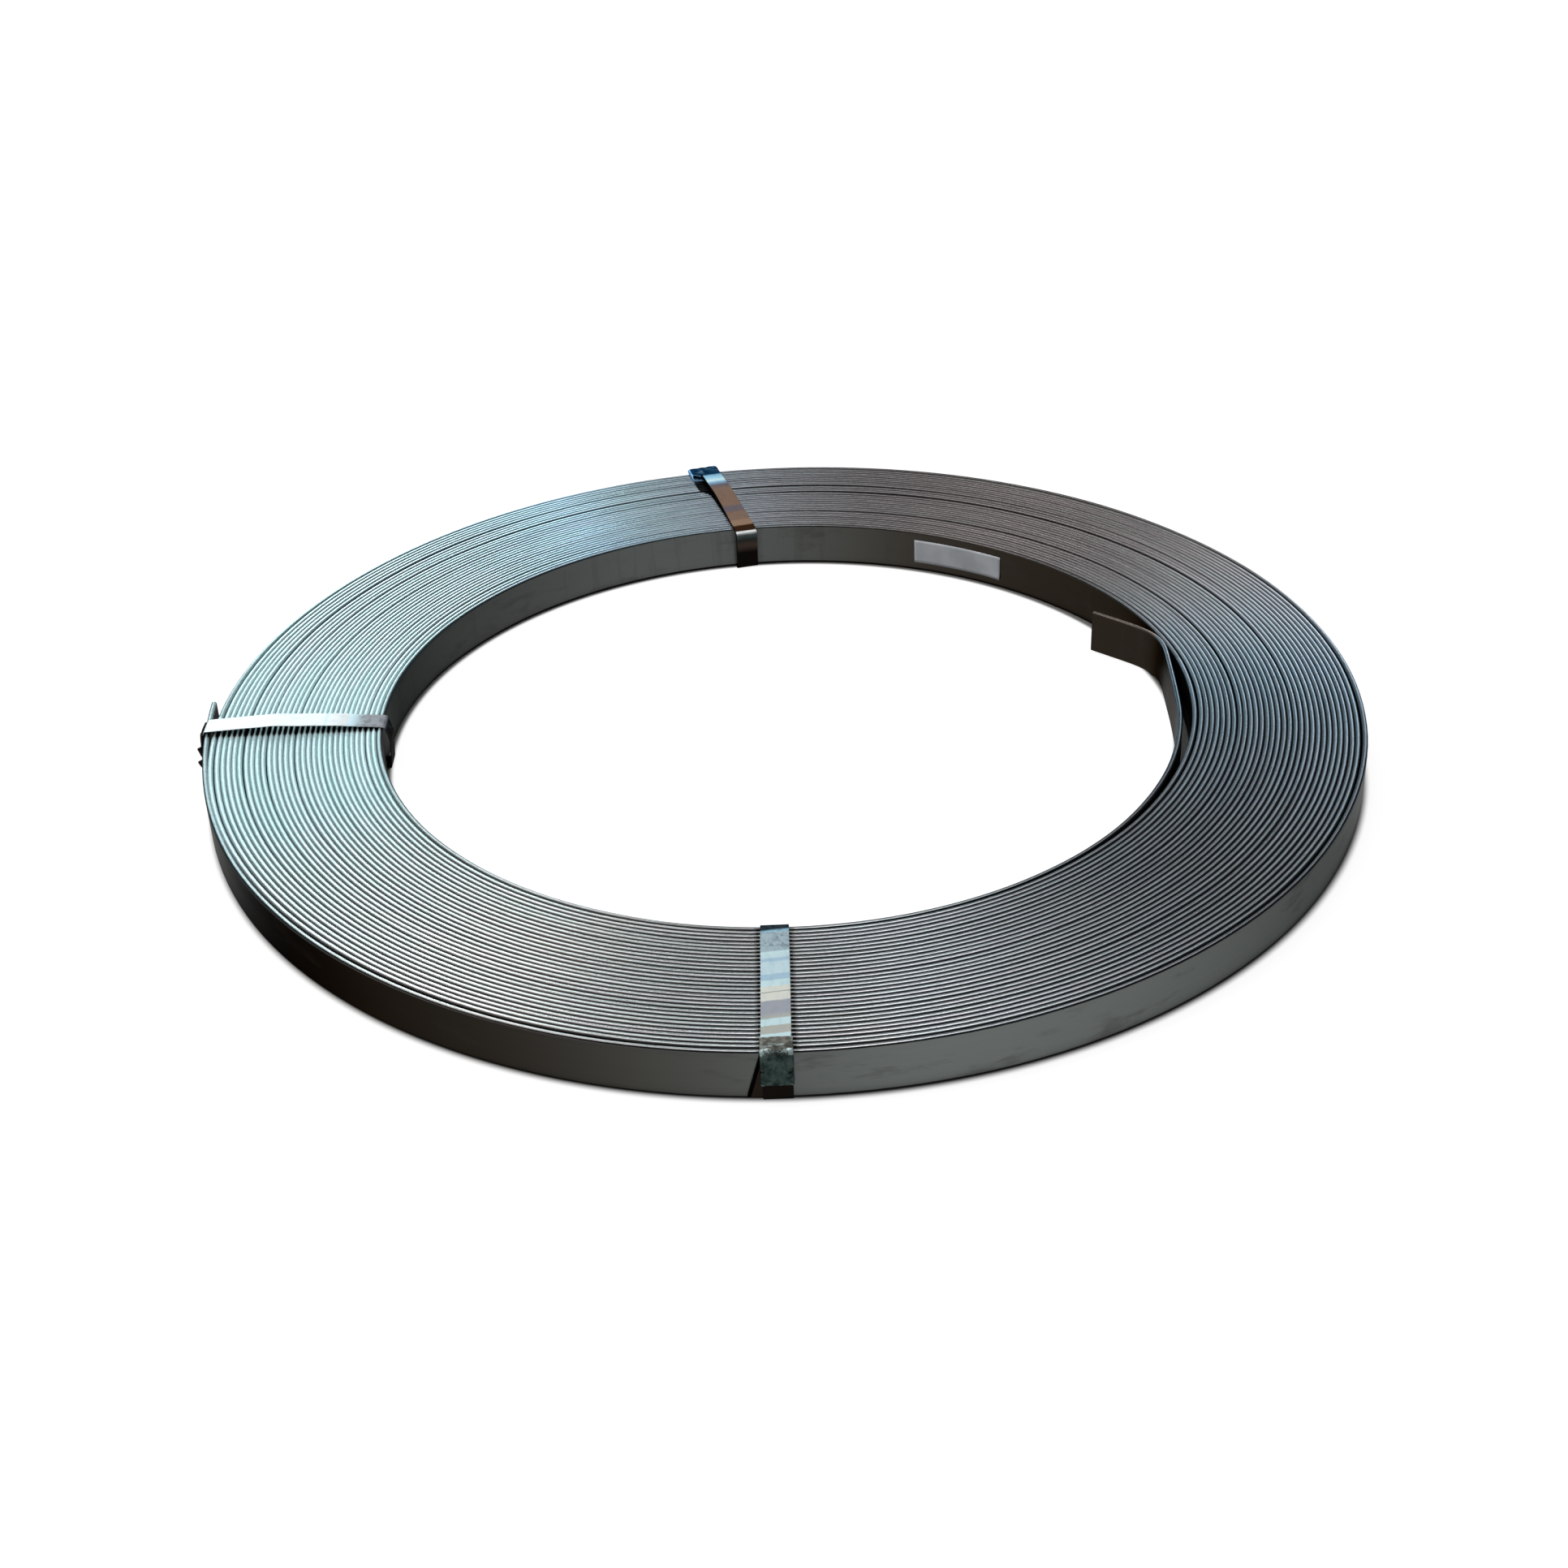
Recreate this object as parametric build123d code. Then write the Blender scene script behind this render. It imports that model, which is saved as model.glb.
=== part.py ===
from build123d import *
import os
from math import asin, cos, degrees, radians, sin, sqrt

# A coil of flat steel earthing strip that lies on its side, held by three steel straps.
# Millimetres, +Z up. The origin is on the coil's upright axis, at floor level.
# Angles are in degrees, from +X, counter-clockwise seen from above.

# The strip, which stands on its edge in the coil
strip_width = 30.0
strip_thickness = 3.5

# The winding
bore_radius = 261.5
turns = 31
turn_relief = 0.9  # how far the edge of each turn leans, the other way from its neighbour's
turns_in_lower_ring = 2  # the underside, which rubs on the floor, has coarser relief
loose_lift = 0.3  # how far a loose length of strip has ridden up
loose_root = 1.2  # how deep in the coil the middle of a loose length starts

# The innermost turn, which has come loose from the others, and its bent tail
inner_leaves_at = 293.0
inner_tightening = 17.4  # how much smaller its radius is than that of the turn it leaves
inner_loose_arc = 67.5
inner_straight = 72.0
tail_bend = 41.0
tail_bend_radius = 8.0
tail_length = 56.0

# The outer end, which springs away from the coil
outer_leaves_at = 228.0
outer_opening = 30.0  # how much larger its radius is than that of the turn it leaves
tip_past_strap = 2.5  # how far beyond the left strap the tip starts
outer_spring = 3.0
outer_spring_radius = 60.0
outer_tip_length = 18.0

# The steel straps
strap_width = 16.0
strap_thickness = 0.5
strap_corner = 1.2
strap_slack = 0.1  # between a strap or a seal and the strip

# Each strap's direction away from the axis, and how far it lies beside the axis, to its left
front_direction = 270.0
front_beside = -10.5
left_direction = 180.0
left_beside = 12.5
left_bow = 4.0
left_bow_at = 0.6  # the share of the strap's length on the coil that lies inside its crest
back_direction = 104.0
back_beside = -39.4
back_bow = 6.0
back_bow_at = 0.7
back_inner_slack = 3.0
bow_share = 0.6  # how much of the shorter side the round crest takes

# The crimped seals, bent over the coil's outer edge
seal_wall = 0.8
seal_fit = 0.1
seal_wing = 5.0
front_seal_on_top = 14.0
front_seal_on_wall = 18.0
left_seal_on_top = 5.0
left_seal_on_wall = 27.0
back_seal_on_top = 18.0
back_seal_on_wall = 14.0
crimp_depth = 2.5
crimp_height = 4.0
crimp_from_end = 4.5

# The paper label on the bore's wall
label_thickness = 0.2
label_slack = 0.05
label_height = 18.0
label_lift = 6.0
label_from = 51.6
label_to = 67.0

# What follows from the sizes above
coil_low = strap_thickness + strap_slack
coil_high = coil_low + strip_width
outer_radius = bore_radius + turns * strip_thickness
seal_room = seal_wall + seal_fit

# The earthing strip


def end_relief(height, inward, turns_in_ring):
    """The outline of one end of the coil, from the bore outwards, with a facet for each ring of turns."""
    points = []
    step = turns_in_ring * strip_thickness
    rings = turns // turns_in_ring
    for edge in range(rings + 1):
        relief = 0 if edge % 2 else turn_relief
        points.append((bore_radius + edge * step, height + inward * relief))
    if rings * turns_in_ring < turns:
        points.append((outer_radius, height))
    return points


def along(heading):
    """The level direction of a heading in degrees."""
    return Vector(cos(radians(heading)), sin(radians(heading)))


def loose_strip(ring_radius, angle, heading, stretches):
    """Strip on edge that leaves a turn of the coil at an angle, and follows arcs and straight stretches.

    Each stretch is a pair: a radius and a turn in degrees, or a length and None where it is straight.
    """
    point = along(angle) * ring_radius
    path = Curve()
    for size, turn in stretches:
        if turn is None:
            stretch = Line(point, point + along(heading) * size)
        else:
            stretch = JernArc(point, along(heading), size, turn)
            heading += turn
        point = stretch @ 1
        path += stretch
    body = extrude(trace(path, strip_thickness), strip_width)
    return Pos(0, 0, coil_low + loose_lift) * body


lower_outline = end_relief(coil_low, 1, turns_in_lower_ring)
upper_outline = end_relief(coil_high, -1, 1)
coil_section = make_face(Plane.XZ * Polyline(*lower_outline, *reversed(upper_outline), close=True))
coil = revolve(coil_section, Axis.Z)

inner_middle = bore_radius + strip_thickness / 2 + loose_root
inner_end = loose_strip(
    inner_middle,
    inner_leaves_at,
    inner_leaves_at + 90,
    [
        (inner_middle - inner_tightening, inner_loose_arc),
        (inner_straight, None),
        (tail_bend_radius, tail_bend),
        (tail_length, None),
    ],
)

outer_middle = outer_radius - strip_thickness / 2 - loose_root
opened_radius = outer_middle + outer_opening
opened_centre = along(outer_leaves_at) * -outer_opening
left_edge = strap_width / 2 - left_beside
opened_to = 180 + degrees(asin((opened_centre.Y - left_edge - tip_past_strap) / opened_radius))
outer_end = loose_strip(
    outer_middle,
    outer_leaves_at,
    outer_leaves_at - 90,
    [
        (opened_radius, opened_to - outer_leaves_at),
        (outer_spring_radius, outer_spring),
        (outer_tip_length, None),
    ],
)
earthing_strip = coil + inner_end + outer_end

# Straps and seals


def strap_frame(direction, beside):
    """The upright plane in which a strap runs: X away from the coil's axis, Y up, Z across the strap."""
    across = along(direction + 90)
    return Plane(across * beside, x_dir=along(direction), z_dir=-across)


def strap_corners(beside, outer_face, inner_slack, bow, bow_at):
    """The corners of a strap's middle line, in its own plane, and the bend at each."""
    inner_edge = abs(beside) + strap_width / 2
    half = strap_thickness / 2
    inner = sqrt(bore_radius**2 - inner_edge**2) - strap_slack - half - inner_slack
    outer = outer_face + strap_slack + seal_room + half
    low = half
    high = coil_high + loose_lift + strap_slack + half
    corners = [(inner, low), (outer, low), (outer, high + seal_room)]
    bends = [strap_corner, strap_corner, strap_corner]
    if bow > 0:
        crest = inner + (outer - inner) * bow_at
        shorter = min(crest - inner, outer - crest)
        corners.append((crest, high + bow))
        bends.append(bow_share * shorter**2 / (2 * bow))
    corners.append((inner, high))
    bends.append(strap_corner)
    return corners, bends


def strap(frame, corners, bends):
    """A closed loop of strapping round the section of the coil."""
    loop = FilletPolyline(*corners, radius=bends, close=True)
    return extrude(frame * trace(loop, strap_thickness), strap_width / 2, both=True)


def seal(frame, corners, bends, on_top, on_wall):
    """A sheet sleeve that is folded round the strap, bent over the coil's outer edge and crimped."""
    corner = Vector(*corners[2])
    inward = (Vector(*corners[3]) - corner).normalized()
    middle = FilletPolyline(corner + inward * on_top, corner, corner - Vector(0, on_wall), radius=bends[2])
    half_width = strap_width / 2 + seal_fit
    loop = FilletPolyline(*corners, radius=bends, close=True)
    sheet = trace(middle, strap_thickness + 2 * seal_room)
    sleeve = extrude(frame * sheet, half_width + seal_wall, both=True)
    slot = extrude(frame * trace(loop, strap_thickness + 2 * seal_fit), half_width, both=True)
    mouth = extrude(frame * make_face(loop), half_width - seal_wing, both=True)
    sleeve -= slot + mouth
    edge = half_width + seal_wall
    crimp_reach = 2 * (seal_room + strap_thickness)
    on_coil = Plane(frame.from_local_coords((corner.X, 0, 0)), x_dir=frame.z_dir, z_dir=-frame.x_dir)
    for height in (corner.Y - on_wall + crimp_from_end, corner.Y - crimp_from_end):
        for side in (-1, 1):
            notch = Polyline(
                (side * edge, height - crimp_height / 2),
                (side * (edge - crimp_depth), height),
                (side * edge, height + crimp_height / 2),
                close=True,
            )
            sleeve -= extrude(on_coil * make_face(notch), crimp_reach, both=True)
    return sleeve


parts = {"earthing_strip": earthing_strip}

front_frame = strap_frame(front_direction, front_beside)
front_corners, front_bends = strap_corners(front_beside, outer_radius, 0, 0, 0)
parts["strap_front"] = strap(front_frame, front_corners, front_bends)
parts["seal_front"] = seal(front_frame, front_corners, front_bends, front_seal_on_top, front_seal_on_wall)

left_frame = strap_frame(left_direction, left_beside)
opened_face = opened_radius + strip_thickness / 2
left_outer = sqrt(opened_face**2 - (left_edge - opened_centre.Y) ** 2) - opened_centre.X
left_corners, left_bends = strap_corners(left_beside, left_outer, 0, left_bow, left_bow_at)
parts["strap_left"] = strap(left_frame, left_corners, left_bends)
parts["seal_left"] = seal(left_frame, left_corners, left_bends, left_seal_on_top, left_seal_on_wall)

back_frame = strap_frame(back_direction, back_beside)
back_corners, back_bends = strap_corners(back_beside, outer_radius, back_inner_slack, back_bow, back_bow_at)
parts["strap_back"] = strap(back_frame, back_corners, back_bends)
parts["seal_back"] = seal(back_frame, back_corners, back_bends, back_seal_on_top, back_seal_on_wall)

# The paper label

label_face = bore_radius - label_slack
label_low = coil_low + label_lift
label_section = make_face(
    Plane.XZ
    * Polyline(
        (label_face - label_thickness, label_low),
        (label_face, label_low),
        (label_face, label_low + label_height),
        (label_face - label_thickness, label_low + label_height),
        close=True,
    )
)
parts["paper_label"] = revolve(Rot(0, 0, label_from) * label_section, Axis.Z, label_to - label_from)

os.makedirs("parts", exist_ok=True)
for name, solid in parts.items():
    export_step(solid, "parts/" + name + ".step")
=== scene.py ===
from math import cos, hypot, pi, radians, sin, tan

import bpy
import numpy as np
from mathutils import Matrix, Vector, noise


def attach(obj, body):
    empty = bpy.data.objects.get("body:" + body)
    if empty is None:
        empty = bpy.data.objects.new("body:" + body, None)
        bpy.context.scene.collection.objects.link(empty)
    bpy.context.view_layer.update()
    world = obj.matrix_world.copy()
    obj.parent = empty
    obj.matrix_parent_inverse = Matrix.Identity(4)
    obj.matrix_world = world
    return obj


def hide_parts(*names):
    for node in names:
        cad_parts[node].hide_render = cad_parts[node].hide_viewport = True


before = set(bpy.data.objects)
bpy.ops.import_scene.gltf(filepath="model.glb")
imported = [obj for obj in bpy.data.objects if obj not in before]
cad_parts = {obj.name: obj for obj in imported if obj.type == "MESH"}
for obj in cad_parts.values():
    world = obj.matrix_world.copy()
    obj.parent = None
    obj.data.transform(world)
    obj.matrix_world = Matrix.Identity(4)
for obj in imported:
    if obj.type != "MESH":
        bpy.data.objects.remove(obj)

# A coil of flat steel earthing strip on its side, held by three steel straps with crimped seals.
# Metres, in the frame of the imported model. Angles are in degrees from +X, counter-clockwise from above.

MM = 0.001
scene = bpy.context.scene
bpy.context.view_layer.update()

# The strip
STRIP_WIDTH = 30 * MM
STRIP_THICKNESS = 3.34 * MM  # a hair under the pitch, so that neighbouring turns don't cut into each other
EDGE_ROUNDING = 1.3 * MM
ROUNDING_POINTS = 3

# The winding. Turns are counted from the bend of the tail, outwards.
PITCH = 3.49 * MM
BORE_RADIUS = 258.4 * MM  # inner face of the innermost turn, at the bend of the tail
FULL_TURNS = 31
COIL_LOW = 0.6 * MM
LOOSE_LIFT = 0.3 * MM
UNEVENNESS = 0.8 * MM
LEAN = 0.02  # radians, from the most inward to the most outward
BEND_HEADING = 14.0
TAIL_END_HEADING = 25.2
OUTER_END_HEADING = 176.3 - 32 * 360  # counted back through every turn
# Stretches of the strip from the tail's end to the outer end: how many steps, and degrees a step
STRETCHES = [(12, 0.6), (32, 0.25), (60, 4 / 3), (5631, 2.0), (23, 0.5)]

# Turns at which a face of the strip comes to lie bare
TAIL_TURN = 0.3  # before it both faces are bare
INNER_TURN = 1.0  # before it the inner face is bare
OUTER_TURN = 30.54  # after it the outer face is bare
SPRUNG_TURN = 31.2  # after it the outer end stands off the coil

# Slits where the winding has opened: the turn outside it, the heading where it is widest, its width in mm
SLIT_NARROWNESS = 5  # how soon a slit closes to either side of where it is widest
SLITS = [
    (1.46, -150, 0.35),
    (2.04, 4, 0.8),
    (3.63, 150, 0.7),
    (8.90, 50, 1.7),
    (16.59, 165, 0.7),
    (18.90, 60, 2.2),
    (21.54, -180, 0.35),
    (21.70, 95, 1.9),
    (22.20, -65, 0.25),
    (25.64, 145, 1.6),
    (26.20, -60, 0.25),
    (30.54, -178, 0.7),
    (30.93, 45, 1.0),
    (31.13, -35, 0.6),
    (31.43, -145, 1.3),
]

# Where the coil isn't round
RIGHT_BULGE = 1.6 * MM
LEFT_BULGE = 1.0 * MM  # of the innermost turns, by the left strap
LEFT_OUTER_BULGE = 2.7 * MM  # of the outermost turns there, which follow the sprung end

# The loose innermost turn closes in, then follows two straight lines, the second being the tail.
# A line is the heading at which it is nearest to the axis, and how near.
LOOSE_FROM = -90
LOOSE_BY = -60
CLOSING_ARC = 85
CLOSING = 6.4 * MM
STRAIGHT_LINE = (-2.5, 254.9 * MM)
TAIL_LINE = (48.5, 219.7 * MM)
TAIL_BEND = 30 * MM

# The sprung outer end
SPRUNG_ARC = 38.8
SPRUNG_BY = 7.4 * MM

# Straps and seals
STRAP_WIDTH = 16 * MM
STRAP_THICKNESS = 0.5 * MM
SEAL_SHEET = 0.6 * MM

# The finish around the coil, where most patches paint light and shade by heading. A patch is its heading,
# how narrow it is, and its strength, which is less than 0 where it takes away.
# Headings where the painted slit shade reaches nearer the top edges
SLIT_SHADE_REACH = [(-18, 10, 1.0), (-112, 20, 0.8)]
# Headings where light is painted into the slits
PAINTED_SLIT_LIGHT = [(-174, 12, 1.1)]
# Headings where the outer wall gets painted shade
WALL_SHADE = [(-158, 30, 0.85)]
# Edges worn bright by rubbing, and light painted onto them by heading
RUBBED_AND_LIT = [
    (-76, 60, 0.35),
    (-8, 60, -0.05),
    (11, 60, 0.35),
    (-25, 40, 0.2),
    (44, 40, 0.08),
    (76, 60, -0.25),
    (107, 60, 0.5),
    (-112, 40, 0.6),
    (130, 60, -0.1),
    (-176, 16, 0.12),
]
# Tints of the light, painted onto the edges by heading
BLUE_LIGHT = [(0, 16, 0.8), (-50, 6, 0.35), (118, 10, 0.9)]
ICE_LIGHT = [(-168, 10, 0.9), (162, 12, 0.7)]
WARM_LIGHT = [(58, 12, 0.9)]
SHADED_HEADING = 195  # faces that look this way get the darkest and brownest painted shade

# The strip's colours
BLACK = (0.0, 0.0, 0.0)
WALL_GREY = (0.134, 0.146, 0.140)
WEST_REFLECTION_BROWN = (1.0, 0.72, 0.56)
SMUDGE = (0.030, 0.026, 0.024)
RUN = (0.032, 0.030, 0.027)
SPRUNG_FACE_SHADE = (0.012, 0.010, 0.009)
EDGE_STEEL = (1.04, 1.0, 0.98)
EDGE_LIGHT_TINTS = [(BLUE_LIGHT, (0.70, 0.98, 1.20)), (ICE_LIGHT, (0.76, 1.0, 1.04)), (WARM_LIGHT, (1.10, 0.99, 0.98))]
TAIL_EDGE = (1.15, 0.98, 0.86)
COOL_TURN = (0.93, 1.02, 1.02)
WARM_TURN = (1.04, 0.98, 1.05)
SLIT_SHADE_BLACK = (0.012, 0.011, 0.011)
STRAP_SHADE_BROWN = (0.030, 0.022, 0.018)
ARCH_SHADOW_BLACK = (0.002, 0.002, 0.002)

# The colours of the straps and seals
ICE = (0.72, 0.94, 1.0)
PALE = (0.68, 0.87, 0.96)
SKY = (0.48, 0.70, 0.86)
CYAN = (0.38, 0.70, 0.90)
AZURE = (0.24, 0.46, 0.66)
LILAC = (0.44, 0.47, 0.54)
STONE = (0.56, 0.58, 0.54)
CREAM = (0.86, 0.88, 0.82)
SCUFFED = (0.48, 0.62, 0.70)
MOSS = (0.16, 0.24, 0.22)
TEAL = (0.05, 0.18, 0.28)
NAVY = (0.006, 0.038, 0.09)
INK = (0.010, 0.022, 0.036)
CHROME = (0.80, 0.84, 0.86)
SLATE = (0.36, 0.38, 0.42)
COPPER = (0.25, 0.165, 0.125)
STRAW = (0.34, 0.22, 0.155)
MAUVE = (0.165, 0.140, 0.160)
UMBER = (0.050, 0.022, 0.011)
BISTRE = (0.110, 0.078, 0.060)
GLINT = (0.95, 1.0, 1.0)
LEFT_STRAP_SHEEN = (0.87, 0.92, 0.95)
SLATE_CYAN = (0.13, 0.17, 0.17)
ASH = (0.045, 0.050, 0.048)
SHADE_BLACK = (0.014, 0.011, 0.010)
SCUFF_GREY = (0.07, 0.08, 0.085)
CLOUD = (0.80, 0.84, 0.90)
BRUSH_MARK = (0.85, 0.85, 0.86)
UNDERSIDE = (0.024, 0.019, 0.016)
TONGUE_BROWN = (0.085, 0.060, 0.044)
EDGE_SHADE_BLACK = (0.003, 0.003, 0.003)
SPANGLE = (1.9, 1.8, 1.7)
DIRT = (0.30, 0.30, 0.30)

# Painted light and shade in these bands: reflections on the ripples, a glint at the back strap's inner bend,
# and black shade by the seals and down the legs in the bore
# Bands across each strap, of heat tint and of painted reflection: millimetres along it, from the bend at the
# coil's outer edge
FRONT_BAND_COLOURS = [
    (10.0, SHADE_BLACK),
    (10.5, TEAL),
    (11.6, TEAL),
    (12.3, ICE),
    (15.5, ICE),
    (16.1, STONE),
    (22.3, STONE),
    (22.9, ICE),
    (28.4, ICE),
    (29.1, STONE),
    (34.0, LILAC),
    (43.8, LILAC),
    (44.6, CREAM),
    (51.1, CREAM),
    (51.6, MOSS),
    (52.1, CREAM),
    (56.4, CREAM),
    (57.2, ICE),
    (62.0, ICE),
    (63.0, SKY),
    (67.2, SKY),
    (68.2, PALE),
    (78.5, PALE),
    (80.0, SKY),
    (81.6, SKY),
    (82.6, PALE),
    (88.0, ICE),
    (88.9, SCUFFED),
    (106.0, SCUFFED),
    (107.6, CYAN),
    (109.6, INK),
]
LEFT_BAND_COLOURS = [
    (-1.5, SHADE_BLACK),
    (-0.4, PALE),
    (1.5, LEFT_STRAP_SHEEN),
    (77.5, LEFT_STRAP_SHEEN),
    (79.0, PALE),
    (80.5, LEFT_STRAP_SHEEN),
    (92.0, CHROME),
    (95.0, PALE),
    (105.0, SLATE),
    (116.0, SLATE),
    (119.0, INK),
    (122.0, SHADE_BLACK),
]
BACK_BAND_COLOURS = [
    (16.0, NAVY),
    (18.0, AZURE),
    (23.0, CYAN),
    (29.0, ICE),
    (33.0, AZURE),
    (38.0, MAUVE),
    (46.0, COPPER),
    (73.0, COPPER),
    (76.0, MAUVE),
    (83.0, MAUVE),
    (86.0, COPPER),
    (98.0, COPPER),
    (101.0, STRAW),
    (107.5, STRAW),
    (109.5, UMBER),
    (115.5, UMBER),
    (116.3, GLINT),
    (118.0, GLINT),
    (119.4, SLATE_CYAN),
    (123.5, ASH),
    (127.0, BISTRE),
    (129.0, BISTRE),
    (134.0, SHADE_BLACK),
]


class Number:
    """A value that a node tree works out. Python's operators on it add the tree's Math nodes."""

    def __init__(self, tree, socket):
        self.tree = tree
        self.socket = socket

    def out(self, name):
        """Another output of the node that this value comes from."""
        return Number(self.tree, self.socket.node.outputs[name])

    def math(self, operation, *others):
        return self.tree.math(operation, self, *others)

    def __add__(self, other):
        return self.math("ADD", other)

    def __radd__(self, other):
        return self.tree.math("ADD", other, self)

    def __sub__(self, other):
        return self.math("SUBTRACT", other)

    def __rsub__(self, other):
        return self.tree.math("SUBTRACT", other, self)

    def __mul__(self, other):
        return self.math("MULTIPLY", other)

    def __rmul__(self, other):
        return self.tree.math("MULTIPLY", other, self)

    def __truediv__(self, other):
        return self.math("DIVIDE", other)

    def __rtruediv__(self, other):
        return self.tree.math("DIVIDE", other, self)

    def __pow__(self, other):
        return self.math("POWER", other)

    def __gt__(self, other):
        return self.math("GREATER_THAN", other)

    def __lt__(self, other):
        return self.math("LESS_THAN", other)

    def most(self, other):
        return self.math("MAXIMUM", other)

    def least(self, other):
        return self.math("MINIMUM", other)

    def between(self, low, high, smooth=True):
        """0 below low, 1 above high and a ramp in between."""
        settings = {"interpolation_type": "SMOOTHSTEP" if smooth else "LINEAR"}
        values = {"Value": self, "From Min": low, "From Max": high}
        return self.tree.add("ShaderNodeMapRange", settings, values)


class Tree:
    """The nodes of one material, world or Geometry Nodes group."""

    def __init__(self, group):
        self.group = group

    def add(self, kind, settings=None, values=None, output=0):
        """One node: first its settings, then what each of its sockets holds or is linked to."""
        node = self.group.nodes.new(kind)
        for name, value in (settings or {}).items():
            if name == "stops":
                ends = node.color_ramp.elements[0], node.color_ramp.elements[1]
                for end, (position, colour) in zip(ends, (value[0], value[-1])):
                    end.position = position
                    end.color = (*colour, 1)
                for position, colour in value[1:-1]:
                    node.color_ramp.elements.new(position).color = (*colour, 1)
            else:
                setattr(node, name, value)
        for name, value in (values or {}).items():
            if isinstance(value, Number):
                self.group.links.new(value.socket, node.inputs[name])
            else:
                node.inputs[name].default_value = value
        return Number(self, node.outputs[output] if len(node.outputs) else None)

    def math(self, operation, *values):
        return self.add("ShaderNodeMath", {"operation": operation}, dict(enumerate(values)))

    def vector(self, x=0.0, y=0.0, z=0.0):
        return self.add("ShaderNodeCombineXYZ", None, {"X": x, "Y": y, "Z": z})

    def scaled(self, vector, scale):
        return self.add("ShaderNodeVectorMath", {"operation": "SCALE"}, {0: vector, "Scale": scale})

    def noise(self, vector, w=0.0, detail=2.0, roughness=0.5):
        """Smooth noise about 0.5, one cell to a unit of the vector and of w."""
        values = {"Vector": vector, "W": w, "Scale": 1.0, "Detail": detail, "Roughness": roughness}
        return self.add("ShaderNodeTexNoise", {"noise_dimensions": "4D"}, values)

    def colour(self, factor, first, second, blend="MIX"):
        """Two colours mixed by a factor."""
        settings = {"data_type": "RGBA", "blend_type": blend}
        first, second = (c if isinstance(c, Number) else (*c, 1) for c in (first, second))
        return self.add("ShaderNodeMix", settings, {0: factor, 6: first, 7: second}, 2)

    def attribute(self, name, output="Fac"):
        """What the mesh says of the shaded point under a name."""
        return self.add("ShaderNodeAttribute", {"attribute_name": name}, None, output)

    def bump(self, height, strength, distance):
        values = {"Strength": strength, "Distance": distance, "Height": height}
        return self.add("ShaderNodeBump", None, values)

    def inputs(self, **kinds):
        """The named inputs of a Geometry Nodes group."""
        for name, kind in kinds.items():
            self.group.interface.new_socket(name, in_out="INPUT", socket_type="NodeSocket" + kind)
        given = self.group.nodes.new("NodeGroupInput")
        return [Number(self, given.outputs[name]) for name in kinds]

    def stored(self, geometry, name, value, kind="FLOAT"):
        """Geometry whose points know a value by a name, for the materials."""
        settings = {"data_type": kind, "domain": "POINT"}
        values = {"Geometry": geometry, "Name": name, "Value": value}
        return self.add("GeometryNodeStoreNamedAttribute", settings, values)

    def swept(self, curve, section):
        """A section carried along a curve, with closed ends."""
        values = {"Curve": curve, "Profile Curve": section, "Fill Caps": True}
        return self.add("GeometryNodeCurveToMesh", None, values)

    def rounded_section(self, width, height, rounding, points):
        """The curve of a rectangle with rounded corners."""
        flat = self.add("GeometryNodeCurvePrimitiveQuadrilateral", None, {"Width": width, "Height": height})
        values = {"Curve": flat, "Radius": rounding, "Count": points}
        return self.add("GeometryNodeFilletCurve", {"mode": "POLY"}, values)

    def result(self, geometry, material):
        """Ends a Geometry Nodes group: plain mesh, smooth, with its material."""
        real = self.add("GeometryNodeRealizeInstances", None, {"Geometry": geometry})
        smooth = self.add("GeometryNodeSetShadeSmooth", None, {"Geometry": real})
        painted = self.add("GeometryNodeSetMaterial", None, {"Geometry": smooth, "Material": material})
        self.group.interface.new_socket("Geometry", in_out="OUTPUT", socket_type="NodeSocketGeometry")
        self.add("NodeGroupOutput", None, {"Geometry": painted})


def geometry_tree(name):
    """An empty Geometry Nodes group."""
    return Tree(bpy.data.node_groups.new(name, "GeometryNodeTree"))


def new_object(name, data):
    """An object in the scene, at the origin."""
    made = bpy.data.objects.new(name, data)
    scene.collection.objects.link(made)
    return made


def made_by(name, tree, base=None, **inputs):
    """The plain mesh that a Geometry Nodes group makes, as an object."""
    made = new_object(name, base or bpy.data.meshes.new(name))
    modifier = made.modifiers.new("shape", "NODES")
    modifier.node_group = tree.group
    for item in tree.group.interface.items_tree:
        if item.in_out == "INPUT" and item.name in inputs:
            modifier[item.identifier] = inputs[item.name]
    shown = made.evaluated_get(bpy.context.evaluated_depsgraph_get())
    mesh = bpy.data.meshes.new_from_object(shown)
    made.modifiers.clear()
    made.data = mesh
    mesh.name = name
    return made


def sheet_faces(rows, columns):
    """The faces of a mesh whose points come row by row."""
    return [
        (r * columns + c, r * columns + c + 1, (r + 1) * columns + c + 1, (r + 1) * columns + c)
        for r in range(rows - 1)
        for c in range(columns - 1)
    ]


def clamped(value):
    """A value held between 0 and 1."""
    return min(max(value, 0), 1)


class Side:
    """The upright plane of a strap: a heading away from the axis, and how far the strap lies beside it."""

    def __init__(self, heading, beside):
        self.out = Vector((cos(radians(heading)), sin(radians(heading)), 0))
        self.across = Vector((-self.out.y, self.out.x, 0))
        self.beside = beside * MM
        self.start = self.across * self.beside

    def at(self, away, up, shift=0.0):
        """A point: millimetres away from the axis, above the floor and across the strap."""
        return self.start + self.out * away * MM + Vector((0, 0, up * MM)) + self.across * shift * MM

    def seen_by(self, x, y):
        """How far a shaded point is away from the axis along the strap, and across it."""
        return x * self.out.x + y * self.out.y, x * self.across.x + y * self.across.y - self.beside


FRONT = Side(270, -10.5)
LEFT = Side(180, 12.5)
BACK = Side(104, -39.4)

# Materials


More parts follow.
